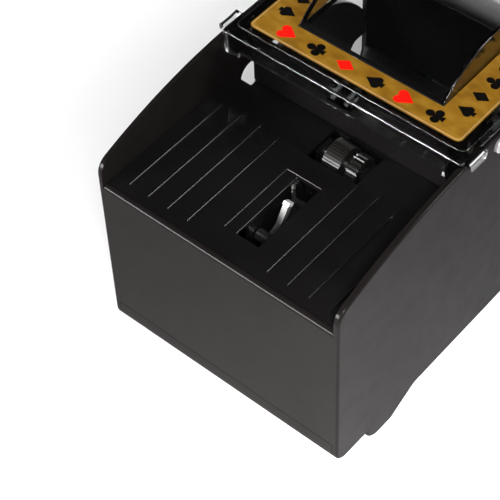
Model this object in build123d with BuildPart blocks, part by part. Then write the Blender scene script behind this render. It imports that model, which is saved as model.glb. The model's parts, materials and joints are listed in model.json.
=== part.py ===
from build123d import *
import math
import os

os.makedirs("parts", exist_ok=True)

# Automatic card shuffler, in millimetres. X runs from tray to tray, the button is on the -Y side,
# the drawer comes out on the +Y side, and Z is up. The origin is on the resting plane, at the
# middle of the footprint. Left means the -X half, and the +X half is its mirror image.

# ---- Driving dimensions ----
LENGTH = 202.0
WIDTH = 96.0
WALL = 2.0
SHELL_Z = 6.5  # underside of the housing
DECK_Z = 74.5  # top of the card trays
TOWER_Z = 95.4  # top of the side panels at the middle
TOWER_HALF = 41.6  # half length of the flat top
CARD_SLOT = 0.8  # gap between tray and gate
GAP = 0.3  # clearance between moving pieces

HALF_L = LENGTH / 2
HALF_W = WIDTH / 2
PANEL_IN = HALF_W - WALL  # inner face of a side panel
END_IN = HALF_L - WALL  # inner face of an end wall

# Feet, drawn on the side panels
FOOT_OUT = 85.0
FOOT_FLAT = 72.0
FOOT_IN = 59.5
CORNER_R = 6.0
BOTTOM_R = 5.0

# Seam between end wall and bottom cover
COVER_TOP = 15.7
SEAM = 0.3

# Trays
DECK_T = 1.6
DECK_UNDER = DECK_Z - DECK_T
DECK_HALF_W = PANEL_IN - 0.2
WELL_X = 33.3  # half length of the card well
WELL_HALF_W = 38.5
WELL_WALL_BOTTOM = 36.5
NOTCH_X = 38.2
RIB_HIGH = 0.5
RIB_WIDE = 0.6
RIB_PITCH = 8.0
RIB_NEAR = 51.0
RIB_FAR = 95.4
SLOT_X = (-89.5, -59.5)  # lever slot
SLOT_Y = (-7.6, 1.2)
RECESS_X = (-89.5, -59.3)  # shallow step round the slot
RECESS_Y = (-8.0, 5.6)
RECESS_Z = DECK_Z - 0.5
EDGE_R = 0.2
WINDOW_X = (-51.0, -36.6)  # roller window
WINDOW_Y = (-15.4, 4.6)

# Feed roller and its gear train, left side, axes along Y
ROLLER_X = -43.5
ROLLER_Z = 71.0
ROLLER_R = 6.5
CORE_R = 4.6
SHAFT_R = 1.5
ROLLER_Y = (-6.7, -0.1)
MODULE = 0.5
PRESSURE = math.radians(25)
ADDENDUM = 0.4
DEDENDUM = 0.53
BACKLASH = 0.05  # on each flank
ROLLER_TEETH = 22
SMALL_TEETH = 16
BIG_TEETH = 40
PINION_TEETH = 10
IDLER_X = -46.2
IDLER_DIST = MODULE * (ROLLER_TEETH + SMALL_TEETH) / 2
MOTOR_DIST = MODULE * (BIG_TEETH + PINION_TEETH) / 2
IDLER_Z = ROLLER_Z - math.sqrt(IDLER_DIST**2 - (ROLLER_X - IDLER_X) ** 2)
MOTOR_Z = IDLER_Z - MOTOR_DIST
SMALL_Y = (-12.7, -8.6)
BIG_Y = (-19.1, -15.6)
PIN_R = 1.0
RUN_FIT = 0.05

# Gearbox plates
PLATE_A_Y = (-15.0, -13.4)
PLATE_B_Y = (2.6, 4.2)
PLATE_C_Y = (-21.2, -19.6)
BAR_X = (-57.0, -53.0)
BAR_Z = (60.0, 66.0)
LUG_TOP = 73.8
LUG_HALF = 3.7
BUSH_R = 2.1
MOUNT_Y = (-10.4, 0.0)  # screws that hold the gearbox to the tray
MOUNT_X = -55.0
COVER_POSTS = ((-55.6, 70.2), (-55.6, 44.0), (-38.3, 44.0))
MOTOR_SCREW_X = 8.0

# Motor
MOTOR_R = 10.0
MOTOR_FLAT = 7.5
MOTOR_LONG = 25.0

# Card sensing lever, left side
LEVER_PIVOT = (-79.0, 64.5)
LEVER_KNEE = (-74.1, 68.0)
LEVER_TIP = (-69.6, 74.7)
LEVER_Y = (-4.5, -2.5)
LEVER_THICK = 2.2
CAP_HIGH = 1.3
CAP_OVERHANG = 0.12
LUG_Y = ((-9.4, -8.0), (1.6, 3.0))
SHELF_Z = (56.4, 58.0)
SWITCH_LEG_X = (-74.2, -69.6, -65.0)

# Clear cover
COVER_SEAT = TOWER_Z + 0.15
FLANGE_TOP = 96.9
PLATE_TOP = 97.4
VAULT_X = 25.5
VAULT_Y = 28.6
VAULT_TOP = 108.8
VAULT_T = 1.4
SNAP_LUG_Y = (48.3, 49.4)
GATE_X = (-36.4, -34.9)
GATE_TOP = 94.8
BOSS_X = (36.4, 40.0)  # gate screw boss, right side
SNAP_LUG_BOTTOM = 93.4
LIP_T = 1.6
LIP_HALF_W = 45.7
LIP_BOTTOM = 90.5
GATE_SCREW_Z = 93.4
GATE_SCREW_Y = 2.6
GATE_SCREW_R = 0.8

# Drawer
DRAWER_HALF = 34.4
DRAWER_FLOOR = 12.5
DRAWER_WALL = 1.1
DRAWER_SIDE_TOP = 34.0
DRAWER_ARCH_R = 38.6
DRAWER_ARCH_TOP = 70.5

# Button
BUTTON_LONG = 51.0
BUTTON_HIGH = 5.4
BUTTON_Z = 91.2
BUTTON_OUT = 1.4
BUTTON_TRAVEL = 1.2
BRACKET_Z = 84.0
UPRIGHT_Y = -38.5
BRACKET_T = 1.2

# Batteries
CELL_R = 7.1
CELL_LONG = 49.5
CELL_PITCH = 15.0
CELL_Z = 16.0
BAY_X = (-94.4, -39.6)
BAY_HALF_W = 30.0
BAY_TOP = 23.6
BAY_WALL = 1.2
CONTACT_HALF = 5.0
CONTACT_T = 0.3
TIP_LONG = 1.2  # raised positive end of a cell
DOOR_T = 1.8
DOOR_HINGE_X = -93.0
DOOR_Z = SHELL_Z + DOOR_T / 2
HINGE_PIN_R = 0.5

# Circuit board
BOARD_X = (42.0, 92.0)
BOARD_HALF_W = 30.0
BOARD_Z = 12.5
BOARD_T = 1.6
BOARD_HOLE_X = (46.0, 88.0)
BOARD_HOLE_Y = 26.0

SCREW_X = 92.0
SCREW_Y = 41.0
SCREW_R = 1.25
PILOT_R = 0.9  # small screws
SPRING_X = 6.5


# ---- Helpers ----
def y_plane(y):
    """Plane at the given Y, with X and Z as its own directions. It extrudes toward -Y."""
    return Plane.XZ.offset(-y)


def block(x_range, y_range, z_range, mode=Mode.ADD):
    """Rectangular block between the given limits, for use inside a BuildPart."""
    with BuildSketch(Plane.XY.offset(z_range[0])) as base:
        with Locations(((x_range[0] + x_range[1]) / 2, (y_range[0] + y_range[1]) / 2)):
            Rectangle(x_range[1] - x_range[0], y_range[1] - y_range[0])
    extrude(base.sketch, amount=z_range[1] - z_range[0], mode=mode)


def barrel(x, z, radius, y_range, mode=Mode.ADD):
    """Cylinder along Y between the given limits."""
    with BuildSketch(y_plane(y_range[1])) as base:
        with Locations((x, z)):
            Circle(radius)
    extrude(base.sketch, amount=y_range[1] - y_range[0], mode=mode)


def post(x, y, radius, z_range, mode=Mode.ADD):
    """Cylinder along Z between the given limits."""
    with BuildSketch(Plane.XY.offset(z_range[0])) as base:
        with Locations((x, y)):
            Circle(radius)
    extrude(base.sketch, amount=z_range[1] - z_range[0], mode=mode)


def at(x, y):
    """Test for a sketch vertex at the given place."""
    return lambda v: abs(v.X - x) < 0.01 and abs(v.Y - y) < 0.01


def middle_at(spot, along):
    """Test for an edge whose middle is at the given spot, whatever its place along the axis."""
    way = along.direction
    return lambda e: ((e.center() - spot) - way * (e.center() - spot).dot(way)).length < 0.02


def save_pair(piece, stem):
    """Write the left piece, and its mirror image as the right piece."""
    piece.label = stem + "_left"
    export_step(piece, f"parts/{stem}_left.step")
    twin = mirror(piece, about=Plane.YZ)
    twin.label = stem + "_right"
    export_step(twin, f"parts/{stem}_right.step")


def gear_face(teeth, phase):
    """Spur gear face about the origin, with one involute tooth at the phase angle in degrees."""
    pitch_r = MODULE * teeth / 2
    base_r = pitch_r * math.cos(PRESSURE)
    root_r = pitch_r - DEDENDUM
    tip_r = pitch_r + ADDENDUM
    half_at_pitch = math.pi / (2 * teeth) - BACKLASH / pitch_r

    def flank_point(radius, side):
        tilt = math.acos(min(1.0, base_r / radius))
        spread = math.tan(PRESSURE) - PRESSURE - (math.tan(tilt) - tilt)
        angle = side * (half_at_pitch + spread)
        return (radius * math.cos(angle), radius * math.sin(angle))

    start_r = root_r - 0.08
    involute_r = max(base_r, root_r)
    radii = [start_r] + [involute_r + (tip_r - involute_r) * k / 3 for k in range(4)]
    outline = [flank_point(r, -1) for r in radii] + [flank_point(r, 1) for r in reversed(radii)]
    with BuildSketch() as face:
        Circle(root_r)
        with PolarLocations(0, teeth, start_angle=phase):
            Polygon(*outline, align=None)
    return face.sketch


def gear(x, z, teeth, phase, y_range):
    """Spur gear along Y between the given limits, for use inside a BuildPart."""
    with BuildSketch(y_plane(y_range[1])) as base:
        with Locations((x, z)):
            add(gear_face(teeth, phase))
    extrude(base.sketch, amount=y_range[1] - y_range[0])


def coil(radius, wire_r, turns, start, height, direction):
    """Spring of round wire that stands on start and runs along direction."""
    with BuildLine() as route:
        Helix(height / turns, height, radius, center=start, direction=direction)
    path = route.wires()[0]
    with BuildSketch(Plane(origin=path @ 0, z_dir=path % 0)) as section:
        Circle(wire_r)
    sweep(section.sketch, path=path, is_frenet=True)


# ---- Main housing: two side panels with fin feet, two end walls, ledges and screw posts ----
with BuildSketch() as panel_face:
    with BuildLine():
        Polyline((0, TOWER_Z), (0, SHELL_Z), (FOOT_IN, SHELL_Z))
        ThreePointArc((FOOT_IN, SHELL_Z), (64.6, 4.0), (FOOT_FLAT, 0))
        Polyline((FOOT_FLAT, 0), (FOOT_OUT, 0), (FOOT_OUT, SHELL_Z), (HALF_L, SHELL_Z))
        Line((HALF_L, SHELL_Z), (HALF_L, 83.1))
        ThreePointArc((HALF_L, 83.1), (79.0, 90.0), (TOWER_HALF, TOWER_Z))
        Line((TOWER_HALF, TOWER_Z), (0, TOWER_Z))
    make_face()
    fillet(panel_face.vertices().filter_by(at(FOOT_OUT, 0)), CORNER_R)
    fillet(panel_face.vertices().filter_by(at(HALF_L, SHELL_Z)), BOTTOM_R)
    fillet(panel_face.vertices().filter_by(at(HALF_L, 83.1)), CORNER_R)
    mirror(about=Plane.YZ)

with BuildPart() as housing:
    with BuildSketch(Plane.XY.offset(COVER_TOP + SEAM)):
        with Locations((END_IN + WALL / 2, 0), (-END_IN - WALL / 2, 0)):
            Rectangle(WALL, 2 * PANEL_IN)
    extrude(amount=DECK_Z - COVER_TOP - SEAM)
    top_edges = housing.edges().filter_by(Axis.Y).group_by(Axis.Z)[-1]
    fillet(top_edges.filter_by(lambda e: abs(e.center().X) > END_IN + 1), 1.6)
    with BuildSketch(y_plane(HALF_W)):
        add(panel_face.sketch)
    extrude(amount=WALL)
    with BuildSketch(y_plane(-PANEL_IN)):
        add(panel_face.sketch)
    extrude(amount=WALL)
    rim = housing.edges().group_by(Axis.Y)
    fillet(rim[0] + rim[-1], 0.9)
    for side in (-1, 1):
        for end in (-1, 1):
            x_pair = sorted((end * 98.0, end * 45.0))
            y_pair = sorted((side * (PANEL_IN - 3), side * PANEL_IN))
            block(x_pair, y_pair, (DECK_UNDER - 2, DECK_UNDER))
            post(end * SCREW_X, side * SCREW_Y, 3.2, (SHELL_Z + WALL, DECK_UNDER - 2))
            rib_y = sorted((side * SCREW_Y, side * PANEL_IN))
            block((end * SCREW_X - 0.8, end * SCREW_X + 0.8), rib_y, (COVER_TOP + 1, DECK_UNDER - 2))
    for end in (-1, 1):
        x_pair = sorted((end * (END_IN - 3), end * END_IN))
        block(x_pair, (-PANEL_IN, PANEL_IN), (DECK_UNDER - 2, DECK_UNDER))
    block((-14, 14), (-PANEL_IN, -PANEL_IN + 6), (BRACKET_Z - 2, BRACKET_Z))
    for x in (-11, 11):
        post(x, -PANEL_IN + 3, PILOT_R, (BRACKET_Z - 2, BRACKET_Z), Mode.SUBTRACT)
    for side in (-1, 1):
        for end in (-1, 1):
            post(end * SCREW_X, side * SCREW_Y, SCREW_R, (SHELL_Z + WALL, 22), Mode.SUBTRACT)
    with BuildSketch(y_plane(HALF_W + 1)) as rear_hole:
        with Locations((0, (12.0 + 73.9) / 2)):
            Rectangle(2 * (DRAWER_HALF + GAP), 73.9 - 12.0)
        fillet(rear_hole.vertices().group_by(Axis.Y)[-1], 5)
    extrude(amount=WALL + 2, mode=Mode.SUBTRACT)
    with BuildSketch(y_plane(-PANEL_IN + 1)):
        with Locations((0, BUTTON_Z)):
            SlotOverall(BUTTON_LONG + 2 * GAP, BUTTON_HIGH + 2 * GAP)
    extrude(amount=WALL + 2, mode=Mode.SUBTRACT)
housing.part.label = "main_housing"
export_step(housing.part, "parts/main_housing.step")

# ---- Bottom cover: tray with rounded ends, battery bay, drawer guides, board posts ----
with BuildPart() as bottom:
    with BuildSketch(y_plane(DECK_HALF_W)) as tray:
        with Locations((0, (SHELL_Z + COVER_TOP) / 2)):
            Rectangle(LENGTH, COVER_TOP - SHELL_Z)
        fillet(tray.vertices().group_by(Axis.Y)[0], BOTTOM_R)
    extrude(amount=2 * DECK_HALF_W)
    with BuildSketch(y_plane(DECK_HALF_W + 1)) as hollow:
        with Locations((0, SHELL_Z + WALL + 10)):
            Rectangle(2 * END_IN, 20)
        fillet(hollow.vertices().group_by(Axis.Y)[0], BOTTOM_R - WALL)
    extrude(amount=2 * DECK_HALF_W + 2, mode=Mode.SUBTRACT)
    bay_out = (BAY_X[0] - BAY_WALL, BAY_X[1] + BAY_WALL)
    block(bay_out, (-BAY_HALF_W - BAY_WALL, BAY_HALF_W + BAY_WALL), (SHELL_Z + 1, BAY_TOP + BAY_WALL))
    block(BAY_X, (-BAY_HALF_W, BAY_HALF_W), (SHELL_Z - 1, BAY_TOP), Mode.SUBTRACT)
    barrel(DOOR_HINGE_X, DOOR_Z, HINGE_PIN_R + RUN_FIT, (-31.6, 31.6), Mode.SUBTRACT)
    for side in (-1, 1):
        x_pair = sorted((side * (DRAWER_HALF + 0.4), side * (DRAWER_HALF + 1.6)))
        block(x_pair, (-44, 44), (SHELL_Z + WALL, 20))
        x_pair = sorted((side * 20, side * 22))
        block(x_pair, (-40, 44), (SHELL_Z + WALL, DRAWER_FLOOR - GAP))
        for x in BOARD_HOLE_X:
            post(x, side * BOARD_HOLE_Y, 3.0, (SHELL_Z + WALL, BOARD_Z))
            post(x, side * BOARD_HOLE_Y, PILOT_R, (SHELL_Z + WALL, BOARD_Z), Mode.SUBTRACT)
        for end in (-1, 1):
            post(end * SCREW_X, side * SCREW_Y, SCREW_R, (SHELL_Z, SHELL_Z + WALL), Mode.SUBTRACT)
            post(end * SCREW_X, side * SCREW_Y, 2.6, (SHELL_Z, SHELL_Z + 1), Mode.SUBTRACT)
bottom.part.label = "bottom_cover"
export_step(bottom.part, "parts/bottom_cover.step")

with BuildPart() as bottom_screws:
    for side in (-1, 1):
        for end in (-1, 1):
            post(end * SCREW_X, side * SCREW_Y, 2.5, (SHELL_Z, SHELL_Z + 1))
            post(end * SCREW_X, side * SCREW_Y, SCREW_R, (SHELL_Z + 1, 20))
            x_pair = (end * SCREW_X - 1.5, end * SCREW_X + 1.5)
            y_pair = (side * SCREW_Y - 0.3, side * SCREW_Y + 0.3)
            block(x_pair, y_pair, (SHELL_Z, SHELL_Z + 0.5), Mode.SUBTRACT)
            block(
                (end * SCREW_X - 0.3, end * SCREW_X + 0.3),
                (side * SCREW_Y - 1.5, side * SCREW_Y + 1.5),
                (SHELL_Z, SHELL_Z + 0.5),
                Mode.SUBTRACT,
            )
bottom_screws.part.label = "bottom_screws"
export_step(bottom_screws.part, "parts/bottom_screws.step")

# ---- Card tray, one at each end ----
with BuildPart() as deck:
    with BuildSketch(Plane.XY.offset(DECK_UNDER)):
        with BuildLine():
            Polyline(
                (-END_IN + 0.2, -DECK_HALF_W),
                (-NOTCH_X, -DECK_HALF_W),
                (-NOTCH_X, -WELL_HALF_W),
                (-WELL_X, -WELL_HALF_W),
                (-WELL_X, WELL_HALF_W),
                (-NOTCH_X, WELL_HALF_W),
                (-NOTCH_X, DECK_HALF_W),
                (-END_IN + 0.2, DECK_HALF_W),
                close=True,
            )
        make_face()
    extrude(amount=DECK_T)
    block((-WELL_X - DECK_T, -WELL_X), (-WELL_HALF_W, WELL_HALF_W), (WELL_WALL_BOTTOM, DECK_Z))
    well_edge = deck.edges().filter_by(Axis.Y).group_by(Axis.Z)[-1].sort_by(Axis.X)[-1]
    fillet(well_edge, 0.8)
    for k in (2, 3, 4, 5):
        for side in (-1, 1):
            y_mid = side * k * RIB_PITCH
            rib_y = (y_mid - RIB_WIDE / 2, y_mid + RIB_WIDE / 2)
            block((-RIB_FAR, -RIB_NEAR), rib_y, (DECK_Z - 0.2, DECK_Z + RIB_HIGH))
    rib_tops = deck.edges().filter_by(Axis.X).group_by(Axis.Z)[-1]
    fillet(rib_tops, RIB_WIDE / 2 - 0.05)
    block(RECESS_X, RECESS_Y, (RECESS_Z, DECK_Z + 1), Mode.SUBTRACT)
    block(SLOT_X, SLOT_Y, (DECK_UNDER - 1, DECK_Z + 1), Mode.SUBTRACT)
    for edge_y, edge_z in ((RECESS_Y[1], DECK_Z), (SLOT_Y[1], RECESS_Z)):
        long_edges = deck.edges().filter_by(Axis.X)
        fillet(long_edges.filter_by(middle_at(Vector(0, edge_y, edge_z), Axis.X)), EDGE_R)
    end_edges = deck.edges().filter_by(Axis.Y)
    fillet(end_edges.filter_by(middle_at(Vector(RECESS_X[1], 0, DECK_Z), Axis.Y)), EDGE_R)
    block(WINDOW_X, WINDOW_Y, (DECK_UNDER - 1, DECK_Z + 1), Mode.SUBTRACT)
    for y in MOUNT_Y:
        post(MOUNT_X, y, 2.5, (BAR_Z[1], DECK_UNDER + 0.2))
        post(MOUNT_X, y, 1.0, (BAR_Z[1], 71.0), Mode.SUBTRACT)
    for lug in LUG_Y:
        block((-83.0, -62.2), lug, (SHELF_Z[0], DECK_UNDER))
    block((-77.0, -62.2), (LUG_Y[0][0], LUG_Y[1][1]), SHELF_Z)
    barrel(*LEVER_PIVOT, PIN_R, (LUG_Y[0][0] - 1, LUG_Y[1][1] + 1), Mode.SUBTRACT)
    for x in SWITCH_LEG_X:
        block((x - 0.5, x + 0.5), (-4.2, -2.8), SHELF_Z, Mode.SUBTRACT)
save_pair(deck.part, "card_tray")

# ---- Feed roller: ribbed rubber sleeve on a hub with a gear, on a steel shaft ----
toward_idler = math.degrees(math.atan2(IDLER_Z - ROLLER_Z, IDLER_X - ROLLER_X))

with BuildPart() as shaft:
    barrel(ROLLER_X, ROLLER_Z, SHAFT_R, (PLATE_A_Y[0], PLATE_B_Y[1] + 1))
    chamfer(shaft.edges().filter_by(GeomType.CIRCLE), 0.25)
save_pair(shaft.part, "roller_shaft")

with BuildPart() as hub:
    gear(ROLLER_X, ROLLER_Z, ROLLER_TEETH, toward_idler, SMALL_Y)
    barrel(ROLLER_X, ROLLER_Z, 3.6, (SMALL_Y[1] - 0.2, ROLLER_Y[0]))
    barrel(ROLLER_X, ROLLER_Z, CORE_R, ROLLER_Y)
    barrel(ROLLER_X, ROLLER_Z, 3.2, (ROLLER_Y[1], 1.2))
    barrel(ROLLER_X, ROLLER_Z, SHAFT_R, (-20, 10), Mode.SUBTRACT)
save_pair(hub.part, "roller_hub")

with BuildPart() as sleeve:
    with BuildSketch(y_plane(ROLLER_Y[1])):
        with Locations((ROLLER_X, ROLLER_Z)):
            Circle(ROLLER_R)
            Circle(CORE_R, mode=Mode.SUBTRACT)
            with PolarLocations(ROLLER_R, 40):
                Rectangle(0.9, 0.5, mode=Mode.SUBTRACT)
    extrude(amount=ROLLER_Y[1] - ROLLER_Y[0])
save_pair(sleeve.part, "roller_sleeve")

with BuildPart() as bushes:
    for plate, flange in ((PLATE_A_Y, (PLATE_A_Y[1], -13.0)), (PLATE_B_Y, (2.2, PLATE_B_Y[0]))):
        barrel(ROLLER_X, ROLLER_Z, BUSH_R, plate)
        barrel(ROLLER_X, ROLLER_Z, 2.7, flange)
        barrel(ROLLER_X, ROLLER_Z, SHAFT_R + RUN_FIT, (plate[0] - 1, plate[1] + 1), Mode.SUBTRACT)
    mirror(about=Plane.YZ)
bushes.part.label = "roller_bushes"
export_step(bushes.part, "parts/roller_bushes.step")

# ---- Reduction gear, motor and pinion ----
with BuildPart() as compound:
    gear(IDLER_X, IDLER_Z, SMALL_TEETH, toward_idler + 180 + 180 / SMALL_TEETH, SMALL_Y)
    barrel(IDLER_X, IDLER_Z, 3.0, (BIG_Y[1] - 0.2, SMALL_Y[0] + 0.2))
    gear(IDLER_X, IDLER_Z, BIG_TEETH, -90, BIG_Y)
    barrel(IDLER_X, IDLER_Z, 8.2, (BIG_Y[0], BIG_Y[0] + 0.7), Mode.SUBTRACT)
    barrel(IDLER_X, IDLER_Z, 3.0, (BIG_Y[0], BIG_Y[1]))
    barrel(IDLER_X, IDLER_Z, PIN_R + RUN_FIT, (-20, -5), Mode.SUBTRACT)
save_pair(compound.part, "reduction_gear")

with BuildPart() as gear_pins:
    barrel(IDLER_X, IDLER_Z, PIN_R, (-20.6, -6.9))
    mirror(about=Plane.YZ)
gear_pins.part.label = "gear_pins"
export_step(gear_pins.part, "parts/gear_pins.step")

MOTOR_Y = (PLATE_A_Y[1], PLATE_A_Y[1] + MOTOR_LONG)
with BuildPart() as motor:
    with BuildSketch(y_plane(MOTOR_Y[1] - 3)):
        with Locations((IDLER_X, MOTOR_Z)):
            Circle(MOTOR_R)
            Rectangle(3 * MOTOR_R, 2 * MOTOR_FLAT, mode=Mode.INTERSECT)
    extrude(amount=MOTOR_LONG - 3)
    barrel(IDLER_X, MOTOR_Z, 3.0, (PLATE_A_Y[0] + 0.1, MOTOR_Y[0]))
    barrel(IDLER_X, MOTOR_Z, PIN_R + RUN_FIT, (-20, 0), Mode.SUBTRACT)
    for side in (-1, 1):
        barrel(IDLER_X + side * MOTOR_SCREW_X, MOTOR_Z, PILOT_R, (MOTOR_Y[0], -11), Mode.SUBTRACT)
save_pair(motor.part, "motor")

with BuildPart() as motor_cap:
    with BuildSketch(y_plane(MOTOR_Y[1])):
        with Locations((IDLER_X, MOTOR_Z)):
            Circle(MOTOR_R - 0.4)
            Rectangle(3 * MOTOR_R, 2 * MOTOR_FLAT - 0.8, mode=Mode.INTERSECT)
    extrude(amount=3)
    barrel(IDLER_X, MOTOR_Z, 3.2, (MOTOR_Y[1], MOTOR_Y[1] + 1.6))
    for side in (-1, 1):
        x_mid = IDLER_X + side * 6
        block((x_mid - 1, x_mid + 1), (MOTOR_Y[1], MOTOR_Y[1] + 3), (MOTOR_Z - 0.2, MOTOR_Z + 0.2))
save_pair(motor_cap.part, "motor_cap")

with BuildPart() as rotor:
    barrel(IDLER_X, MOTOR_Z, PIN_R, (BIG_Y[0] - 0.1, -1))
save_pair(rotor.part, "motor_shaft")

with BuildPart() as pinion:
    gear(IDLER_X, MOTOR_Z, PINION_TEETH, 90 + 180 / PINION_TEETH, BIG_Y)
    barrel(IDLER_X, MOTOR_Z, PIN_R, (-20, -15), Mode.SUBTRACT)
save_pair(pinion.part, "motor_pinion")

# ---- Gearbox frame, cover and screws ----
with BuildPart() as frame:
    with BuildSketch(y_plane(PLATE_A_Y[1])):
        with BuildLine():
            Polyline(
                (-58.0, 40.5),
                (-36.2, 40.5),
                (-36.2, 66.0),
                (ROLLER_X + LUG_HALF, 69.0),
                (ROLLER_X + LUG_HALF, LUG_TOP),
                (ROLLER_X - LUG_HALF, LUG_TOP),
                (ROLLER_X - LUG_HALF, 69.0),
                (-53.0, 69.0),
                (-53.0, 72.4),
                (-58.0, 72.4),
                close=True,
            )
        make_face()
    extrude(amount=PLATE_A_Y[1] - PLATE_A_Y[0])
    with BuildSketch(y_plane(PLATE_B_Y[1])):
        with BuildLine():
            Polyline(
                (BAR_X[0], BAR_Z[0]),
                (-37.0, BAR_Z[0]),
                (-37.0, 67.0),
                (ROLLER_X + LUG_HALF, 69.0),
                (ROLLER_X + LUG_HALF, LUG_TOP),
                (ROLLER_X - LUG_HALF, LUG_TOP),
                (ROLLER_X - LUG_HALF, 69.0),
                (BAR_X[0], BAR_Z[1]),
                close=True,
            )
        make_face()
    extrude(amount=PLATE_B_Y[1] - PLATE_B_Y[0])
    block(BAR_X, (PLATE_A_Y[0], PLATE_B_Y[1]), BAR_Z)
    block((BAR_X[1], IDLER_X + 2), (-8.3, -6.9), (BAR_Z[0], IDLER_Z + 1.9))
    barrel(IDLER_X, IDLER_Z, PIN_R, (-8.3, -6.9), Mode.SUBTRACT)
    barrel(IDLER_X, IDLER_Z, 4.9, PLATE_A_Y, Mode.SUBTRACT)
    barrel(IDLER_X, MOTOR_Z, 3.1, PLATE_A_Y, Mode.SUBTRACT)
    barrel(ROLLER_X, ROLLER_Z, BUSH_R, (PLATE_A_Y[0], PLATE_B_Y[1]), Mode.SUBTRACT)
    for side in (-1, 1):
        barrel(IDLER_X + side * MOTOR_SCREW_X, MOTOR_Z, PILOT_R, PLATE_A_Y, Mode.SUBTRACT)
    for x, z in COVER_POSTS:
        barrel(x, z, 0.8, PLATE_A_Y, Mode.SUBTRACT)
    for y in MOUNT_Y:
        post(MOUNT_X, y, 1.0, BAR_Z, Mode.SUBTRACT)
save_pair(frame.part, "gearbox_frame")

with BuildPart() as gearbox_cover:
    with BuildSketch(y_plane(PLATE_C_Y[1])):
        with BuildLine():
            Polyline(
                (-57.8, 42.0),
                (-36.2, 42.0),
                (-36.2, 66.0),
                (-41.0, 71.5),
                (-57.8, 72.2),
                close=True,
            )
        make_face()
    extrude(amount=PLATE_C_Y[1] - PLATE_C_Y[0])
    fillet(gearbox_cover.edges().filter_by(Axis.Y), 1.6)
    for x, z in COVER_POSTS:
        barrel(x, z, 1.8, (PLATE_C_Y[1], PLATE_A_Y[0]))
        barrel(x, z, 0.8, (PLATE_C_Y[0], PLATE_A_Y[0]), Mode.SUBTRACT)
    barrel(IDLER_X, IDLER_Z, PIN_R, (-20.6, PLATE_C_Y[1]), Mode.SUBTRACT)
save_pair(gearbox_cover.part, "gearbox_cover")

with BuildPart() as gearbox_screws:
    for x, z in COVER_POSTS:
        barrel(x, z, 1.5, (PLATE_C_Y[0] - 1.1, PLATE_C_Y[0]))
        barrel(x, z, 0.8, (PLATE_C_Y[0], PLATE_A_Y[1]))
    for y in MOUNT_Y:
        post(MOUNT_X, y, 1.9, (BAR_Z[0] - 1.3, BAR_Z[0]))
        post(MOUNT_X, y, 1.0, (BAR_Z[0], 70.5))
    mirror(about=Plane.YZ)
gearbox_screws.part.label = "gearbox_screws"
export_step(gearbox_screws.part, "parts/gearbox_screws.step")

with BuildPart() as motor_screws:
    for side in (-1, 1):
        x_mid = IDLER_X + side * MOTOR_SCREW_X
        barrel(x_mid, MOTOR_Z, 1.7, (PLATE_A_Y[0] - 1.2, PLATE_A_Y[0]))
        barrel(x_mid, MOTOR_Z, PILOT_R, (PLATE_A_Y[0], -11.5))
    mirror(about=Plane.YZ)
motor_screws.part.label = "motor_screws"
export_step(motor_screws.part, "parts/motor_screws.step")

# ---- Card sensing lever and its switch ----
tip_way = (Vector(*LEVER_TIP) - Vector(*LEVER_KNEE)).normalized()
cap_foot = Vector(*LEVER_TIP) - tip_way * CAP_HIGH
with BuildPart() as lever_cap:
    with BuildSketch(y_plane(LEVER_Y[1] + CAP_OVERHANG)):
        with BuildLine():
            Line(cap_foot, LEVER_TIP)
        trace(line_width=LEVER_THICK + 2 * CAP_OVERHANG)
    extrude(amount=LEVER_Y[1] - LEVER_Y[0] + 2 * CAP_OVERHANG)
    with BuildSketch(y_plane(LEVER_Y[1] - 0.6)):
        with BuildLine():
            Line(cap_foot - tip_way, cap_foot)
        trace(line_width=0.8)
    extrude(amount=0.8)
save_pair(lever_cap.part, "lever_cap")

with BuildPart() as lever:
    with BuildSketch(y_plane(LEVER_Y[1])):
        with BuildLine():
            Polyline(LEVER_PIVOT, LEVER_KNEE, LEVER_TIP)
        trace(line_width=LEVER_THICK)
        with Locations((LEVER_KNEE[0] + 0.6, LEVER_KNEE[1] - 1.0)):
            Circle(0.7)
    extrude(amount=LEVER_Y[1] - LEVER_Y[0])
    barrel(*LEVER_PIVOT, 2.2, (LUG_Y[0][1] + 0.4, LUG_Y[1][0] - 0.4))
    barrel(*LEVER_PIVOT, PIN_R + RUN_FIT, (-10, 5), Mode.SUBTRACT)
    add(lever_cap.part, mode=Mode.SUBTRACT)
save_pair(lever.part, "sensing_lever")

with BuildPart() as lever_pins:
    barrel(*LEVER_PIVOT, PIN_R, (LUG_Y[0][0], LUG_Y[1][1]))
    mirror(about=Plane.YZ)
lever_pins.part.label = "lever_pins"
export_step(lever_pins.part, "parts/lever_pins.step")

with BuildPart() as card_switches:
    block((-76.0, -63.2), (-6.4, -0.6), (SHELF_Z[1], 64.2))
    block((-74.2, -72.8), (-4.4, -2.6), (64.2, 64.9))
    for x in SWITCH_LEG_X:
        block((x - 0.3, x + 0.3), (-4.0, -3.0), (SHELF_Z[0] - 3, SHELF_Z[1]))
    mirror(about=Plane.YZ)
card_switches.part.label = "card_switches"
export_step(card_switches.part, "parts/card_switches.step")

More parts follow.
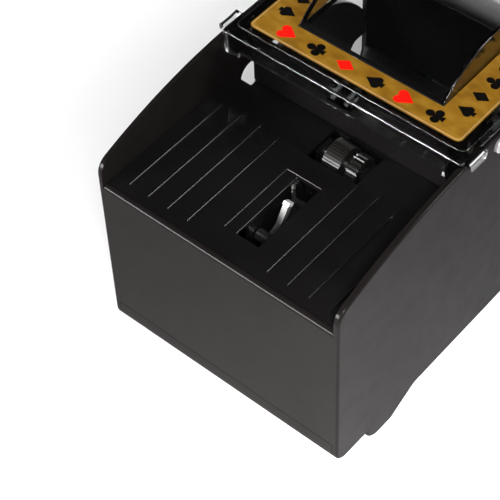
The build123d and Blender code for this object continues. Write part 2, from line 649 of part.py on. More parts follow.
# ---- Clear cover with vaulted window, gates and label ----
with BuildPart() as clear_cover:
    with BuildSketch(Plane.XY.offset(COVER_SEAT)):
        RectangleRounded(2 * TOWER_HALF, 2 * (HALF_W - 1), 0.8)
    extrude(amount=FLANGE_TOP - COVER_SEAT)
    fillet(clear_cover.edges().group_by(Axis.Z)[-1], 0.45)
    with BuildSketch(Plane.XY.offset(FLANGE_TOP)):
        RectangleRounded(75.0, 90.0, 2.5)
    extrude(amount=PLATE_TOP - FLANGE_TOP)
    fillet(clear_cover.edges().group_by(Axis.Z)[-1], 0.3)
    with BuildSketch(y_plane(VAULT_Y)):
        with BuildLine():
            ThreePointArc((-VAULT_X, PLATE_TOP), (0, VAULT_TOP), (VAULT_X, PLATE_TOP))
            Line((VAULT_X, PLATE_TOP), (-VAULT_X, PLATE_TOP))
        make_face()
    extrude(amount=2 * VAULT_Y)
    fillet(clear_cover.edges().filter_by(GeomType.CIRCLE).group_by(Axis.Z)[-1], 0.5)
    with BuildSketch(y_plane(VAULT_Y - VAULT_T)):
        with BuildLine():
            inner_x = VAULT_X - 1.8
            ThreePointArc((-inner_x, PLATE_TOP), (0, VAULT_TOP - VAULT_T), (inner_x, PLATE_TOP))
            Polyline(
                (inner_x, PLATE_TOP),
                (inner_x, COVER_SEAT - 1),
                (-inner_x, COVER_SEAT - 1),
                (-inner_x, PLATE_TOP),
            )
        make_face()
    extrude(amount=2 * (VAULT_Y - VAULT_T), mode=Mode.SUBTRACT)
    for end in (-1, 1):
        lip_x = sorted((end * (TOWER_HALF - LIP_T), end * TOWER_HALF))
        block(lip_x, (-LIP_HALF_W, LIP_HALF_W), (LIP_BOTTOM, COVER_SEAT + 0.3))
        boss_x = sorted((end * BOSS_X[0], end * BOSS_X[1]))
        block(boss_x, (-5, 5), (91.5, COVER_SEAT + 0.3))
        for side in (-1, 1):
            tab_y = sorted((side * 40.4, side * LIP_HALF_W))
            block(lip_x, tab_y, (LIP_BOTTOM - 2.4, LIP_BOTTOM + 0.5))
            clip_x = sorted((end * 14.0, end * 32.0))
            clip_y = sorted((side * 42.5, side * 44.6))
            block(clip_x, clip_y, (88.0, COVER_SEAT + 0.3))
            lug_x = sorted((end * 31.5, end * 40.0))
            block(lug_x, sorted((side * 46.0, side * SNAP_LUG_Y[1])), (COVER_SEAT + 0.05, FLANGE_TOP))
            with BuildSketch(y_plane(max(side * SNAP_LUG_Y[0], side * SNAP_LUG_Y[1]))) as lug:
                with Locations((end * 35.75, (SNAP_LUG_BOTTOM + FLANGE_TOP) / 2)):
                    Rectangle(8.5, FLANGE_TOP - SNAP_LUG_BOTTOM)
                fillet(lug.vertices().group_by(Axis.Y)[0], 2.2)
            extrude(amount=SNAP_LUG_Y[1] - SNAP_LUG_Y[0])
            screw_y = side * GATE_SCREW_Y
            with BuildSketch(Plane.YZ.offset(end * BOSS_X[0])):
                with Locations((screw_y, GATE_SCREW_Z)):
                    Circle(GATE_SCREW_R)
            extrude(amount=end * 3.0, mode=Mode.SUBTRACT)
clear_cover.part.label = "clear_cover"
export_step(clear_cover.part, "parts/clear_cover.step")

with BuildPart() as label:
    with BuildSketch(Plane.XY.offset(PLATE_TOP)):
        RectangleRounded(70.0, 82.8, 2.0)
        Rectangle(2 * VAULT_X + 0.4, 2 * VAULT_Y + 0.4, mode=Mode.SUBTRACT)
    extrude(amount=0.12)
label.part.label = "gold_label"
export_step(label.part, "parts/gold_label.step")

with BuildPart() as gate:
    block(GATE_X, (-WELL_HALF_W, WELL_HALF_W), (DECK_Z + CARD_SLOT, GATE_TOP))
    chamfer(gate.edges().filter_by(Axis.Y).group_by(Axis.Z)[0].sort_by(Axis.X)[0], 0.6)
    for side in (-1, 1):
        with BuildSketch(Plane.YZ.offset(GATE_X[0])):
            with Locations((side * GATE_SCREW_Y, GATE_SCREW_Z)):
                Circle(GATE_SCREW_R)
        extrude(amount=GATE_X[1] - GATE_X[0], mode=Mode.SUBTRACT)
save_pair(gate.part, "gate")

with BuildPart() as gate_screws:
    for side in (-1, 1):
        for start, length, radius in ((GATE_X[1], 1.0, 1.3), (GATE_X[0] - 2.8, 4.3, GATE_SCREW_R)):
            with BuildSketch(Plane.YZ.offset(start)):
                with Locations((side * GATE_SCREW_Y, GATE_SCREW_Z)):
                    Circle(radius)
            extrude(amount=length)
    mirror(about=Plane.YZ)
gate_screws.part.label = "gate_screws"
export_step(gate_screws.part, "parts/gate_screws.step")

# ---- Drawer that collects the shuffled deck ----
with BuildPart() as drawer:
    block((-DRAWER_HALF, DRAWER_HALF), (-45.6, PANEL_IN), (DRAWER_FLOOR, DRAWER_FLOOR + 1.5))
    for side in (-1, 1):
        x_pair = sorted((side * (DRAWER_HALF - DRAWER_WALL), side * DRAWER_HALF))
        block(x_pair, (-45.6, PANEL_IN), (DRAWER_FLOOR, DRAWER_SIDE_TOP))
    block((-DRAWER_HALF, DRAWER_HALF), (-45.6, -44.4), (DRAWER_FLOOR, DRAWER_SIDE_TOP))
    face_half = DRAWER_HALF - 0.2
    arch_drop = DRAWER_ARCH_R - math.sqrt(DRAWER_ARCH_R**2 - face_half**2)
    arch_side = DRAWER_ARCH_TOP - arch_drop
    with BuildSketch(y_plane(HALF_W)):
        with BuildLine():
            Polyline(
                (-face_half, arch_side),
                (-face_half, DRAWER_FLOOR),
                (face_half, DRAWER_FLOOR),
                (face_half, arch_side),
            )
            ThreePointArc((face_half, arch_side), (0, DRAWER_ARCH_TOP), (-face_half, arch_side))
        make_face()
        with Locations((face_half, 33.5), (-face_half, 33.5)):
            RectangleRounded(16.0, 14.0, 3.0, mode=Mode.SUBTRACT)
    extrude(amount=WALL)
drawer.part.label = "card_drawer"
export_step(drawer.part, "parts/card_drawer.step")

# ---- Power button, its springs, switch and bracket ----
with BuildPart() as button:
    with BuildSketch(y_plane(-PANEL_IN - 0.2)):
        with Locations((0, BUTTON_Z)):
            SlotOverall(BUTTON_LONG, BUTTON_HIGH)
    extrude(amount=WALL - 0.2 + BUTTON_OUT)
    fillet(button.edges().group_by(Axis.Y)[0], 0.8)
    block((-4, 4), (-PANEL_IN - 0.3, -45.6), (BUTTON_Z - 2.4, BUTTON_Z + 2.4))
    block((-12, 12), (-45.7, -44.9), (BUTTON_Z - 3.7, BUTTON_Z + 3.7))
button.part.label = "power_button"
export_step(button.part, "parts/power_button.step")

with BuildPart() as button_springs:
    for x in (-SPRING_X, SPRING_X):
        coil(1.6, 0.22, 5, (x, -44.6, BUTTON_Z), 5.8, (0, 1, 0))
button_springs.part.label = "button_springs"
export_step(button_springs.part, "parts/button_springs.step")

with BuildPart() as power_switch:
    block((-3, 3), (-42.0, UPRIGHT_Y), (BUTTON_Z - 3, BUTTON_Z + 3))
    barrel(0, BUTTON_Z, 1.7, (-43.4, -42.0))
power_switch.part.label = "power_switch"
export_step(power_switch.part, "parts/power_switch.step")

with BuildPart() as bracket:
    block((-14, 14), (-PANEL_IN + 0.2, UPRIGHT_Y + BRACKET_T), (BRACKET_Z, BRACKET_Z + BRACKET_T))
    block((-9, 9), (UPRIGHT_Y, UPRIGHT_Y + BRACKET_T), (BRACKET_Z, BUTTON_Z + 3.6))
    for x in (-11, 11):
        post(x, -PANEL_IN + 3, PILOT_R, (BRACKET_Z, BRACKET_Z + BRACKET_T), Mode.SUBTRACT)
bracket.part.label = "switch_bracket"
export_step(bracket.part, "parts/switch_bracket.step")

with BuildPart() as bracket_screws:
    for x in (-11, 11):
        post(x, -PANEL_IN + 3, 1.6, (BRACKET_Z + BRACKET_T, BRACKET_Z + BRACKET_T + 1.0))
        post(x, -PANEL_IN + 3, PILOT_R, (BRACKET_Z - 2, BRACKET_Z + BRACKET_T))
bracket_screws.part.label = "bracket_screws"
export_step(bracket_screws.part, "parts/bracket_screws.step")

# ---- Batteries, their contacts and door ----
CELL_Y = [CELL_PITCH * k for k in (-1.5, -0.5, 0.5, 1.5)]
CELL_X = (-92.0, -92.0 + CELL_LONG)
with BuildPart() as cells:
    for k, y in enumerate(CELL_Y):
        plus_up = k % 2 == 0
        body_x = CELL_X[0] if plus_up else CELL_X[0] + TIP_LONG
        tip_x = CELL_X[1] - TIP_LONG if plus_up else CELL_X[0]
        with BuildSketch(Plane.YZ.offset(body_x)):
            with Locations((y, CELL_Z)):
                Circle(CELL_R)
        extrude(amount=CELL_LONG - TIP_LONG)
        with BuildSketch(Plane.YZ.offset(tip_x)):
            with Locations((y, CELL_Z)):
                Circle(2.7)
        extrude(amount=TIP_LONG)
cells.part.label = "battery_cells"
export_step(cells.part, "parts/battery_cells.step")

with BuildPart() as contacts:
    for y in CELL_Y:
        y_pair = (y - CONTACT_HALF, y + CONTACT_HALF)
        z_pair = (CELL_Z - CONTACT_HALF, CELL_Z + CONTACT_HALF)
        block((BAY_X[0], BAY_X[0] + CONTACT_T), y_pair, z_pair)
        block((BAY_X[1] - CONTACT_T, BAY_X[1]), y_pair, z_pair)
contacts.part.label = "battery_contacts"
export_step(contacts.part, "parts/battery_contacts.step")

with BuildPart() as springs:
    for k, y in enumerate(CELL_Y):
        low_end = k % 2 == 0
        x = BAY_X[0] + 0.6 if low_end else CELL_X[1] + 0.3
        reach = CELL_X[0] - x - 0.3 if low_end else BAY_X[1] - 0.6 - x
        coil(3.0, 0.3, 1.6, (x, y, CELL_Z), reach, (1, 0, 0))
springs.part.label = "battery_springs"
export_step(springs.part, "parts/battery_springs.step")

with BuildPart() as door:
    door_y = (-BAY_HALF_W + GAP, BAY_HALF_W - GAP)
    block((DOOR_HINGE_X, BAY_X[1] - GAP), door_y, (SHELL_Z, SHELL_Z + DOOR_T))
    barrel(DOOR_HINGE_X, DOOR_Z, DOOR_T / 2, door_y)
    barrel(DOOR_HINGE_X, DOOR_Z, HINGE_PIN_R, (-31.2, 31.2))
    for k in range(5):
        x_mid = -48.0 + 1.6 * k
        block((x_mid - 0.4, x_mid + 0.4), (-7, 7), (SHELL_Z, SHELL_Z + 0.5), Mode.SUBTRACT)
door.part.label = "battery_door"
export_step(door.part, "parts/battery_door.step")

# ---- Circuit board ----
with BuildPart() as board:
    block(BOARD_X, (-BOARD_HALF_W, BOARD_HALF_W), (BOARD_Z, BOARD_Z + BOARD_T))
    fillet(board.edges().filter_by(Axis.Z), 1.5)
    for side in (-1, 1):
        for x in BOARD_HOLE_X:
            post(x, side * BOARD_HOLE_Y, PILOT_R, (BOARD_Z, BOARD_Z + BOARD_T), Mode.SUBTRACT)
board.part.label = "circuit_board"
export_step(board.part, "parts/circuit_board.step")

BOARD_TOP = BOARD_Z + BOARD_T
with BuildPart() as board_screws:
    for side in (-1, 1):
        for x in BOARD_HOLE_X:
            post(x, side * BOARD_HOLE_Y, 1.8, (BOARD_TOP, BOARD_TOP + 1.2))
            post(x, side * BOARD_HOLE_Y, PILOT_R, (SHELL_Z + WALL + 0.2, BOARD_TOP))
board_screws.part.label = "board_screws"
export_step(board_screws.part, "parts/board_screws.step")

with BuildPart() as chip:
    block((62, 72), (-3.5, 3.5), (BOARD_TOP + 0.2, BOARD_TOP + 1.8))
    for k in range(7):
        for side in (-1, 1):
            x_mid = 63.2 + 1.27 * k
            y_pair = sorted((side * 3.4, side * 4.6))
            block((x_mid - 0.2, x_mid + 0.2), y_pair, (BOARD_TOP, BOARD_TOP + 0.8))
chip.part.label = "control_chip"
export_step(chip.part, "parts/control_chip.step")

with BuildPart() as capacitors:
    for x, y in ((80, -12), (80, 12)):
        post(x, y, 4.0, (BOARD_TOP, BOARD_TOP + 11))
capacitors.part.label = "capacitors"
export_step(capacitors.part, "parts/capacitors.step")

with BuildPart() as connectors:
    for y in (-20, -9, 9, 20):
        block((43.5, 49.5), (y - 4, y + 4), (BOARD_TOP, BOARD_TOP + 6))
        block((43.4, 46.5), (y - 3, y + 3), (BOARD_TOP + 1.5, BOARD_TOP + 7), Mode.SUBTRACT)
connectors.part.label = "wire_connectors"
export_step(connectors.part, "parts/wire_connectors.step")
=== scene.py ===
import json
import math

import bmesh
import bpy
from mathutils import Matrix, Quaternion, Vector


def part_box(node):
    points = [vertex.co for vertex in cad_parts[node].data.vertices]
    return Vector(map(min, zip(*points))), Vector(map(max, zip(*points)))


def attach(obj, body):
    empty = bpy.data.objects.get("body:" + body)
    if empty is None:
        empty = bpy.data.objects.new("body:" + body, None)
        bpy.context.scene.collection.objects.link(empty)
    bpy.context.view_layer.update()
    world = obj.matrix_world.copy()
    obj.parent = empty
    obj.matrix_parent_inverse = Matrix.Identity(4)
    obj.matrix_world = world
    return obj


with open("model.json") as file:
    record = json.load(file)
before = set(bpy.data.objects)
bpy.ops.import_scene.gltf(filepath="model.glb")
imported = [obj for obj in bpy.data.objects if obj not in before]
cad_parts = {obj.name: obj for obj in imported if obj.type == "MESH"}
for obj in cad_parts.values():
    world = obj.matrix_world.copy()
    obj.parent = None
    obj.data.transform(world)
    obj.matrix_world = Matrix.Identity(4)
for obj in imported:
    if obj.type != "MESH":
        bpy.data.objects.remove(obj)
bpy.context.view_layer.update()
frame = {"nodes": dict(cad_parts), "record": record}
nodes = frame["nodes"]
MM = 0.001


# ---- Camera ----
def add_camera():
    """Looks down on the left tray from its front corner, through a long lens."""
    place = Vector((-339.6, -232.8, 481.0)) * MM
    target = Vector((-104.6, -18.2, 95.4)) * MM
    roll = math.radians(-2.75)
    data = bpy.data.cameras.new("camera")
    data.sensor_width = 36.0
    data.lens = 125.5
    data.clip_start = 0.01
    camera = bpy.data.objects.new("camera", data)
    camera.location = place
    camera.rotation_mode = "QUATERNION"
    aim = (target - place).to_track_quat("-Z", "Y")
    camera.rotation_quaternion = aim @ Quaternion((0, 0, 1), roll)
    bpy.context.scene.collection.objects.link(camera)
    bpy.context.scene.camera = camera


# ---- Shader helpers ----
class Look:
    """A Principled material with object coordinates in metres, and shortcuts for its patterns."""

    def __init__(self, name, colour, roughness, **sockets):
        self.material = bpy.data.materials.new(name)
        self.material.use_nodes = True
        self.tree = self.material.node_tree
        self.shader = self.tree.nodes["Principled BSDF"]
        self.shader.inputs["Base Color"].default_value = (*colour, 1)
        self.shader.inputs["Roughness"].default_value = roughness
        for key, value in sockets.items():
            self.shader.inputs[key.replace("_", " ")].default_value = value
        self.place = self.tree.nodes.new("ShaderNodeTexCoord").outputs["Object"]
        self.normal = None

    def stretched(self, stretch):
        """Object coordinates scaled by a different factor along each axis."""
        mapping = self.tree.nodes.new("ShaderNodeMapping")
        mapping.inputs["Scale"].default_value = stretch
        self.tree.links.new(self.place, mapping.inputs["Vector"])
        return mapping.outputs["Vector"]

    def noise(self, size_mm, detail=3.0, stretch=None):
        """Noise with features of about the given size."""
        node = self.tree.nodes.new("ShaderNodeTexNoise")
        node.inputs["Scale"].default_value = 1000.0 / size_mm
        node.inputs["Detail"].default_value = detail
        source = self.stretched(stretch) if stretch else self.place
        self.tree.links.new(source, node.inputs["Vector"])
        return node.outputs["Fac"]

    def span(self, value, low, high, start=0.3, end=0.7):
        """Maps a noise value onto the range from low to high."""
        node = self.tree.nodes.new("ShaderNodeMapRange")
        self.tree.links.new(value, node.inputs["Value"])
        node.inputs["From Min"].default_value = start
        node.inputs["From Max"].default_value = end
        node.inputs["To Min"].default_value = low
        node.inputs["To Max"].default_value = high
        return node.outputs["Result"]

    def colours(self, value, stops):
        """Feeds the base colour from a ramp of (position, colour) stops."""
        ramp = self.tree.nodes.new("ShaderNodeValToRGB")
        while len(ramp.color_ramp.elements) < len(stops):
            ramp.color_ramp.elements.new(0.5)
        for element, (position, colour) in zip(ramp.color_ramp.elements, stops):
            element.position = position
            element.color = (*colour, 1)
        self.tree.links.new(value, ramp.inputs["Fac"])
        self.tree.links.new(ramp.outputs["Color"], self.shader.inputs["Base Color"])

    def rough(self, value):
        """Feeds the roughness."""
        self.tree.links.new(value, self.shader.inputs["Roughness"])

    def bump(self, value, height_mm, strength=1.0):
        """Adds a bump layer on top of those already there."""
        node = self.tree.nodes.new("ShaderNodeBump")
        node.inputs["Strength"].default_value = strength
        node.inputs["Distance"].default_value = height_mm * MM
        self.tree.links.new(value, node.inputs["Height"])
        if self.normal:
            self.tree.links.new(self.normal, node.inputs["Normal"])
        self.normal = node.outputs["Normal"]
        self.tree.links.new(self.normal, self.shader.inputs["Normal"])


def combine(tree, operation, first, second):
    """Math node on two values."""
    node = tree.nodes.new("ShaderNodeMath")
    node.operation = operation
    tree.links.new(first, node.inputs[0])
    tree.links.new(second, node.inputs[1])
    return node.outputs["Value"]


def moulded(name, colour, roughness, spread=0.25, grain_mm=0.35, grain_high=0.006, **sockets):
    """Moulded plastic: cloudy colour, uneven sheen and a fine grain."""
    look = Look(name, colour, roughness, **sockets)
    dark = [c * (1 - spread) for c in colour]
    light = [c * (1 + spread) for c in colour]
    look.colours(look.noise(14, 4.0), [(0.3, dark), (0.7, light)])
    look.rough(look.span(look.noise(5, 5.0), roughness * 0.88, roughness * 1.12))
    look.bump(look.noise(grain_mm, 2.0), grain_high, 0.6)
    return look


def metal(name, colour, roughness, stretch=(1, 14, 1), line_mm=1.2):
    """Metal with fine turned or drawn lines."""
    look = Look(name, colour, roughness, Metallic=1.0)
    lines = look.noise(line_mm, 3.0, stretch)
    dark = [c * 0.82 for c in colour]
    look.colours(lines, [(0.3, dark), (0.7, colour)])
    look.rough(look.span(lines, roughness * 0.8, roughness * 1.25))
    look.bump(lines, 0.004, 0.5)
    return look


def gloss_black(name, colour, roughness):
    """Glossy black plastic with faint smears and hairline scuffs."""
    look = Look(name, colour, roughness, Specular_IOR_Level=0.5)
    smears = look.noise(22, 5.0, (1, 0.5, 1))
    light = [c * 1.6 for c in colour]
    look.colours(smears, [(0.35, colour), (0.75, light)])
    look.rough(look.span(smears, roughness * 0.8, roughness * 1.5))
    look.bump(look.noise(9, 2.0), 0.02, 0.35)
    look.bump(look.noise(0.25, 2.0, (0.08, 1, 1)), 0.002, 0.4)
    return look


def gold_foil():
    """Gold foil with soft cloudy tarnish and fine sparkle."""
    look = Look("gold_foil", (0.30, 0.135, 0.012), 0.38, Metallic=0.3, Specular_IOR_Level=0.25)
    clouds = look.noise(3.5, 6.0, (1, 0.5, 1))
    look.colours(
        clouds,
        [(0.3, (0.22, 0.10, 0.007)), (0.5, (0.30, 0.145, 0.011)), (0.7, (0.38, 0.20, 0.022))],
    )
    look.rough(look.span(look.noise(2.5, 4.0), 0.30, 0.46))
    look.bump(look.noise(0.5, 3.0), 0.01, 0.5)
    return look


def clear_plastic():
    """Clear polished plastic with faint moulding ripple."""
    look = Look("clear_plastic", (0.97, 0.98, 0.98), 0.01, Transmission_Weight=1.0, IOR=1.49)
    look.colours(look.noise(30, 2.0), [(0.3, (0.95, 0.965, 0.965)), (0.7, (0.98, 0.985, 0.985))])
    look.rough(look.span(look.noise(8, 3.0), 0.0, 0.03))
    return look


def lever_grey():
    """Dark acetal with a faint random mottle; the part of the lever above the tray floor is
    painted paler, a painted highlight.
    """
    look = Look("lever_dark", (0.04, 0.04, 0.04), 0.35)
    split = look.tree.nodes.new("ShaderNodeSeparateXYZ")
    look.tree.links.new(look.place, split.inputs["Vector"])
    # Painted highlight: the lever is painted paler from about 67 to 73 mm up, where it shows
    # through the slot.
    painted_highlight = look.span(split.outputs["Z"], 0.0, 0.8, 0.067, 0.073)
    mottle = look.span(look.noise(0.6, 4.0), -0.1, 0.2)
    highlight_and_mottle = combine(look.tree, "ADD", painted_highlight, mottle)
    look.colours(highlight_and_mottle, [(0.0, (0.006, 0.006, 0.006)), (1.0, (0.10, 0.10, 0.097))])
    look.bump(look.noise(0.35, 2.0), 0.006, 0.6)
    return look


def board():
    """Solder resist over copper traces."""
    look = Look("board_green", (0.02, 0.14, 0.05), 0.3, Coat_Weight=0.4)
    cells = look.tree.nodes.new("ShaderNodeTexVoronoi")
    cells.distance = "MANHATTAN"
    cells.feature = "DISTANCE_TO_EDGE"
    cells.inputs["Scale"].default_value = 260.0
    look.tree.links.new(look.place, cells.inputs["Vector"])
    edge = cells.outputs["Distance"]
    look.colours(edge, [(0.02, (0.05, 0.28, 0.09)), (0.08, (0.015, 0.12, 0.045))])
    look.bump(look.noise(0.8, 2.0), 0.01, 0.4)
    return look


def make_looks():
    """One look for each material slot of the record."""
    return {
        "housing_plastic": moulded(
            "housing_satin",
            (0.0075, 0.0060, 0.0060),
            0.40,
            0.12,
            Specular_IOR_Level=0.01,
            Coat_Weight=0.13,
            Coat_Roughness=0.08,
            Coat_Tint=(1.0, 0.95, 0.96, 1.0),
        ),
        "tray_plastic": gloss_black("tray_gloss", (0.0040, 0.0036, 0.0036), 0.16),
        "drawer_plastic": moulded("drawer_satin", (0.018, 0.017, 0.017), 0.30),
        "clear_plastic": clear_plastic(),
        "label_gold": gold_foil(),
        "button_silver": moulded("button_silver", (0.40, 0.40, 0.41), 0.34, 0.08, Metallic=0.5),
        "roller_rubber": moulded("roller_rubber", (0.008, 0.0070, 0.0062), 0.40, 0.3, 0.5, 0.02),
        "gear_plastic": moulded("gear_dark", (0.009, 0.0085, 0.008), 0.24, 0.2, 0.6),
        "gear_white": moulded("gear_white", (0.72, 0.70, 0.65), 0.42, 0.08, 0.6),
        "steel": metal("turned_steel", (0.55, 0.55, 0.56), 0.28),
        "bush_brass": metal("sintered_brass", (0.75, 0.52, 0.22), 0.34),
        "motor_can": metal("zinc_steel", (0.62, 0.62, 0.61), 0.36, (1, 1, 8)),
        "frame_plastic": moulded(
            "frame_black", (0.003, 0.003, 0.003), 0.45, 0.2, Specular_IOR_Level=0.2
        ),
        "lever_plastic": lever_grey(),
        "cap_grey": moulded("cap_grey", (0.55, 0.54, 0.53), 0.25, 0.12),
        "switch_black": moulded("switch_black", (0.015, 0.015, 0.015), 0.4),
        "spring_steel": metal("spring_steel", (0.7, 0.7, 0.7), 0.2),
        "cell_wrap": moulded("cell_wrap", (0.06, 0.08, 0.10), 0.25, 0.2),
        "board_green": board(),
        "capacitor_blue": moulded("capacitor_blue", (0.02, 0.04, 0.14), 0.25, 0.2),
    }


def dress_nodes(looks):
    """Gives each CAD node the look of its slot."""
    for part in frame["record"]["subparts"]:
        mesh = nodes[part["node"]].data
        material = looks[part["material_slot"]].material
        if not mesh.materials:
            mesh.materials.append(material)
        for index in range(len(mesh.materials)):
            mesh.materials[index] = material


# ---- Printed suit pips and borders on the gold label ----
def ray_reach(shapes, angle):
    """How far the union of discs and polygons reaches from the origin along an angle."""
    ux, uy = math.cos(angle), math.sin(angle)
    best = 0.02
    for kind, data in shapes:
        if kind == "disc":
            cx, cy, radius = data
            along = ux * cx + uy * cy
            inside = radius**2 - (cx**2 + cy**2 - along**2)
            if inside > 0:
                best = max(best, along + math.sqrt(inside))
        else:
            for (ax, ay), (bx, by) in zip(data, data[1:] + data[:1]):
                ex, ey = bx - ax, by - ay
                cross = ux * ey - uy * ex
                if abs(cross) < 1e-9:
                    continue
                reach = (ax * ey - ay * ex) / cross
                part = (ax * uy - ay * ux) / cross
                if reach > 0 and 0 <= part <= 1:
                    best = max(best, reach)
    return best


STEM = (
    "polygon",
    [(-0.20, -0.5), (-0.06, -0.36), (-0.05, 0.1), (0.05, 0.1), (0.06, -0.36), (0.20, -0.5)],
)
SUITS = {
    "heart": [
        ("disc", (-0.235, 0.2, 0.255)),
        ("disc", (0.235, 0.2, 0.255)),
        ("polygon", [(-0.455, 0.08), (0, -0.5), (0.455, 0.08), (0, 0.3)]),
    ],
    "diamond": [("polygon", [(-0.40, 0), (0, -0.5), (0.40, 0), (0, 0.5)])],
    "spade": [
        ("disc", (-0.20, -0.12, 0.215)),
        ("disc", (0.20, -0.12, 0.215)),
        ("polygon", [(-0.385, -0.05), (0, -0.2), (0.385, -0.05), (0, 0.5)]),
        STEM,
    ],
    "club": [
        ("disc", (0, 0.275, 0.225)),
        ("disc", (-0.255, -0.11, 0.225)),
        ("disc", (0.255, -0.11, 0.225)),
        STEM,
    ],
}
OUTLINE_STEPS = 144
CORNER_STEPS = 6


def finish_print(name, grid, material):
    """Turns a bmesh into a printed piece that rides on the cover."""
    bmesh.ops.recalc_face_normals(grid, faces=grid.faces)
    mesh = bpy.data.meshes.new(name)
    grid.to_mesh(mesh)
    grid.free()
    mesh.materials.append(material)
    piece = bpy.data.objects.new(name, mesh)
    bpy.context.scene.collection.objects.link(piece)
    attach(piece, "cover")


def flat_piece(name, outlines, z, thick, material):
    """Thin printed layer: each outline becomes a flat prism."""
    grid = bmesh.new()
    for outline in outlines:
        verts = [grid.verts.new((x, y, z)) for x, y in outline]
        face = grid.faces.new(verts)
        extruded = bmesh.ops.extrude_face_region(grid, geom=[face])
        tops = [v for v in extruded["geom"] if isinstance(v, bmesh.types.BMVert)]
        bmesh.ops.translate(grid, verts=tops, vec=(0, 0, thick))
    finish_print(name, grid, material)


def pip(suit, x, y, wide, high, turn=0.0):
    """Outline of one suit sign, in metres, centred at x and y."""
    points = []
    for step in range(OUTLINE_STEPS):
        angle = 2 * math.pi * step / OUTLINE_STEPS
        reach = ray_reach(SUITS[suit], angle)
        px, py = reach * math.cos(angle) * wide, reach * math.sin(angle) * high
        c, s = math.cos(turn), math.sin(turn)
        points.append((x + px * c - py * s, y + px * s + py * c))
    return points


def ring(name, half_x, half_y, corner, width, z, thick, material, slot):
    """Thin printed line round a rectangle with rounded corners."""

    def loop(grow):
        points = []
        radius = corner + grow
        for quarter, (sx, sy) in enumerate(((1, 1), (-1, 1), (-1, -1), (1, -1))):
            for step in range(CORNER_STEPS + 1):
                angle = math.pi / 2 * (quarter + step / CORNER_STEPS)
                cx = sx * (half_x - corner)
                cy = sy * (half_y - corner)
                points.append((cx + radius * math.cos(angle), cy + radius * math.sin(angle)))
        return points

    outer, inner = loop(width / 2), loop(-width / 2)
    grid = bmesh.new()
    rows = []
    for points, height in ((outer, z), (outer, z + thick), (inner, z + thick), (inner, z)):
        rows.append([grid.verts.new((x, y, height)) for x, y in points])
    count = len(outer)
    for a, b in zip(rows, rows[1:] + rows[:1]):
        for k in range(count):
            j = (k + 1) % count
            grid.faces.new((a[k], a[j], b[j], b[k]))
    finish_print(name, grid, material)


def print_label():
    """Suit pips along all four strips of the label, and a pale border line."""
    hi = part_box("gold_label")[1]
    top = hi[2] + 0.01 * MM
    thick = 0.03 * MM
    red = moulded("print_red", (0.88, 0.006, 0.002), 0.45, 0.06, Specular_IOR_Level=0.2)
    black = moulded("print_black", (0.002, 0.0018, 0.0015), 0.5, 0.1, Specular_IOR_Level=0.08)
    cream = moulded("print_cream", (0.62, 0.50, 0.28), 0.45, 0.1, Specular_IOR_Level=0.2)
    wide, high = 6.0 * MM, 6.8 * MM
    strip_x = 30.25 * MM
    pitch = 11.6 * MM
    order = ["heart", "club", "diamond", "spade", "heart", "club"]
    shapes = {"red": [], "black": []}
    for side in (-1, 1):
        for k, suit in enumerate(order):
            y = side * (k - 2.5) * pitch
            turn = 0 if side < 0 else math.pi
            colour = "red" if suit in ("heart", "diamond") else "black"
            shapes[colour].append(pip(suit, side * strip_x, y, wide, high, turn))
    row = ["spade", "diamond", "club", "heart", "spade", "diamond", "club"]
    row_wide, row_high = 5.4 * MM, 6.4 * MM
    strip_y = 35.2 * MM
    row_pitch = 7.6 * MM
    for side in (-1, 1):
        for k, suit in enumerate(row):
            turn = 0 if side < 0 else math.pi
            place = ((k - 3) * row_pitch, side * strip_y)
            shapes["black"].append(pip(suit, *place, row_wide, row_high, turn))
    flat_piece("print_red_pips", shapes["red"], top, thick, red.material)
    flat_piece("print_black_pips", shapes["black"], top, thick, black.material)
    inset = 0.6 * MM
    size = (hi[0] - inset, hi[1] - inset, 1.6 * MM, 0.12 * MM)
    ring("print_border", *size, top, thick, cream.material, "label_gold")


# ---- Floor and light ----
def add_floor():
    """Large pale floor."""
    mesh = bpy.data.meshes.new("floor")
    size = 4.0
    corners = [(-size, -size, 0), (size, -size, 0), (size, size, 0), (-size, size, 0)]
    mesh.from_pydata(corners, [], [(0, 1, 2, 3)])
    look = Look("floor_white", (0.90, 0.90, 0.90), 0.85)
    look.colours(look.noise(60, 3.0), [(0.3, (0.89, 0.89, 0.89)), (0.7, (0.91, 0.91, 0.91))])
    mesh.materials.append(look.material)
    floor = bpy.data.objects.new("floor", mesh)
    bpy.context.scene.collection.objects.link(floor)


def hang_lamp(data, place, target, power):
    """Hangs a lamp, aimed at the target. The camera doesn't see the lamp itself."""
    data.energy = power
    lamp = bpy.data.objects.new(data.name, data)
    lamp.location = Vector(place)
    lamp.rotation_mode = "QUATERNION"
    lamp.rotation_quaternion = (Vector(target) - Vector(place)).to_track_quat("-Z", "Y")
    lamp.visible_camera = False
    bpy.context.scene.collection.objects.link(lamp)


def add_softbox(name, place, target, size, power):
    """Rectangular soft lamp."""
    data = bpy.data.lights.new(name, "AREA")
    data.shape = "RECTANGLE"
    data.size, data.size_y = size
    hang_lamp(data, place, target, power)


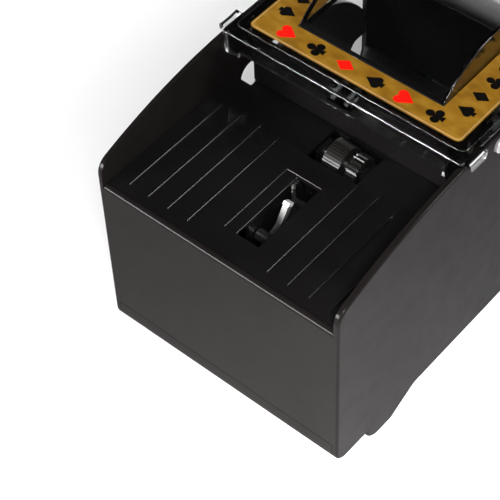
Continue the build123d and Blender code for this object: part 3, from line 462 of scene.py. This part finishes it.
def add_pool(name, place, target, cone, power):
    """A soft pool of light on the floor, which the walls reflect near their foot."""
    data = bpy.data.lights.new(name, "SPOT")
    data.spot_size = math.radians(cone)
    data.spot_blend = 1.0
    data.shadow_soft_size = 0.05
    hang_lamp(data, place, target, power)


def smooth_range(tree, value, start, end, low, high):
    """Smooth step of a world value, from low at start to high at end."""
    node = tree.nodes.new("ShaderNodeMapRange")
    node.interpolation_type = "SMOOTHSTEP"
    tree.links.new(value, node.inputs["Value"])
    node.inputs["From Min"].default_value = start
    node.inputs["From Max"].default_value = end
    node.inputs["To Min"].default_value = low
    node.inputs["To Max"].default_value = high
    return node.outputs["Result"]


def light_scene():
    """Bright near the horizon, dark overhead and dimmer on the far side, with soft lamps."""
    world = bpy.data.worlds.new("studio")
    world.use_nodes = True
    tree = world.node_tree
    place = tree.nodes.new("ShaderNodeTexCoord")
    split = tree.nodes.new("ShaderNodeSeparateXYZ")
    tree.links.new(place.outputs["Generated"], split.inputs["Vector"])
    overhead = smooth_range(tree, split.outputs["Z"], 0.30, 0.62, 1.25, 0.03)
    across = combine(tree, "ADD", split.outputs["X"], split.outputs["Y"])
    far_side = smooth_range(tree, across, 0.2, 1.1, 1.0, 0.45)
    background = tree.nodes["Background"]
    background.inputs["Color"].default_value = (1, 1, 1, 1)
    tree.links.new(combine(tree, "MULTIPLY", overhead, far_side), background.inputs["Strength"])
    bpy.context.scene.world = world
    middle = (-0.03, 0.0, 0.06)
    add_softbox("key", (-1.0, -0.7, 1.35), middle, (0.8, 0.8), 27)
    add_softbox("edge_y", (0.65, -1.11, 0.97), (-0.1, -0.02, 0.08), (0.4, 0.7), 14)
    add_softbox("edge_x", (-1.37, 0.66, 0.39), (-0.06, 0.0, 0.08), (0.45, 0.5), 32)
    add_pool("pool", (-0.42, -0.36, 0.55), (-0.120, -0.085, 0.0), 22, 34)
    bpy.context.scene.view_settings.view_transform = "Standard"


add_camera()
looks = make_looks()
dress_nodes(looks)
print_label()
add_floor()
light_scene()
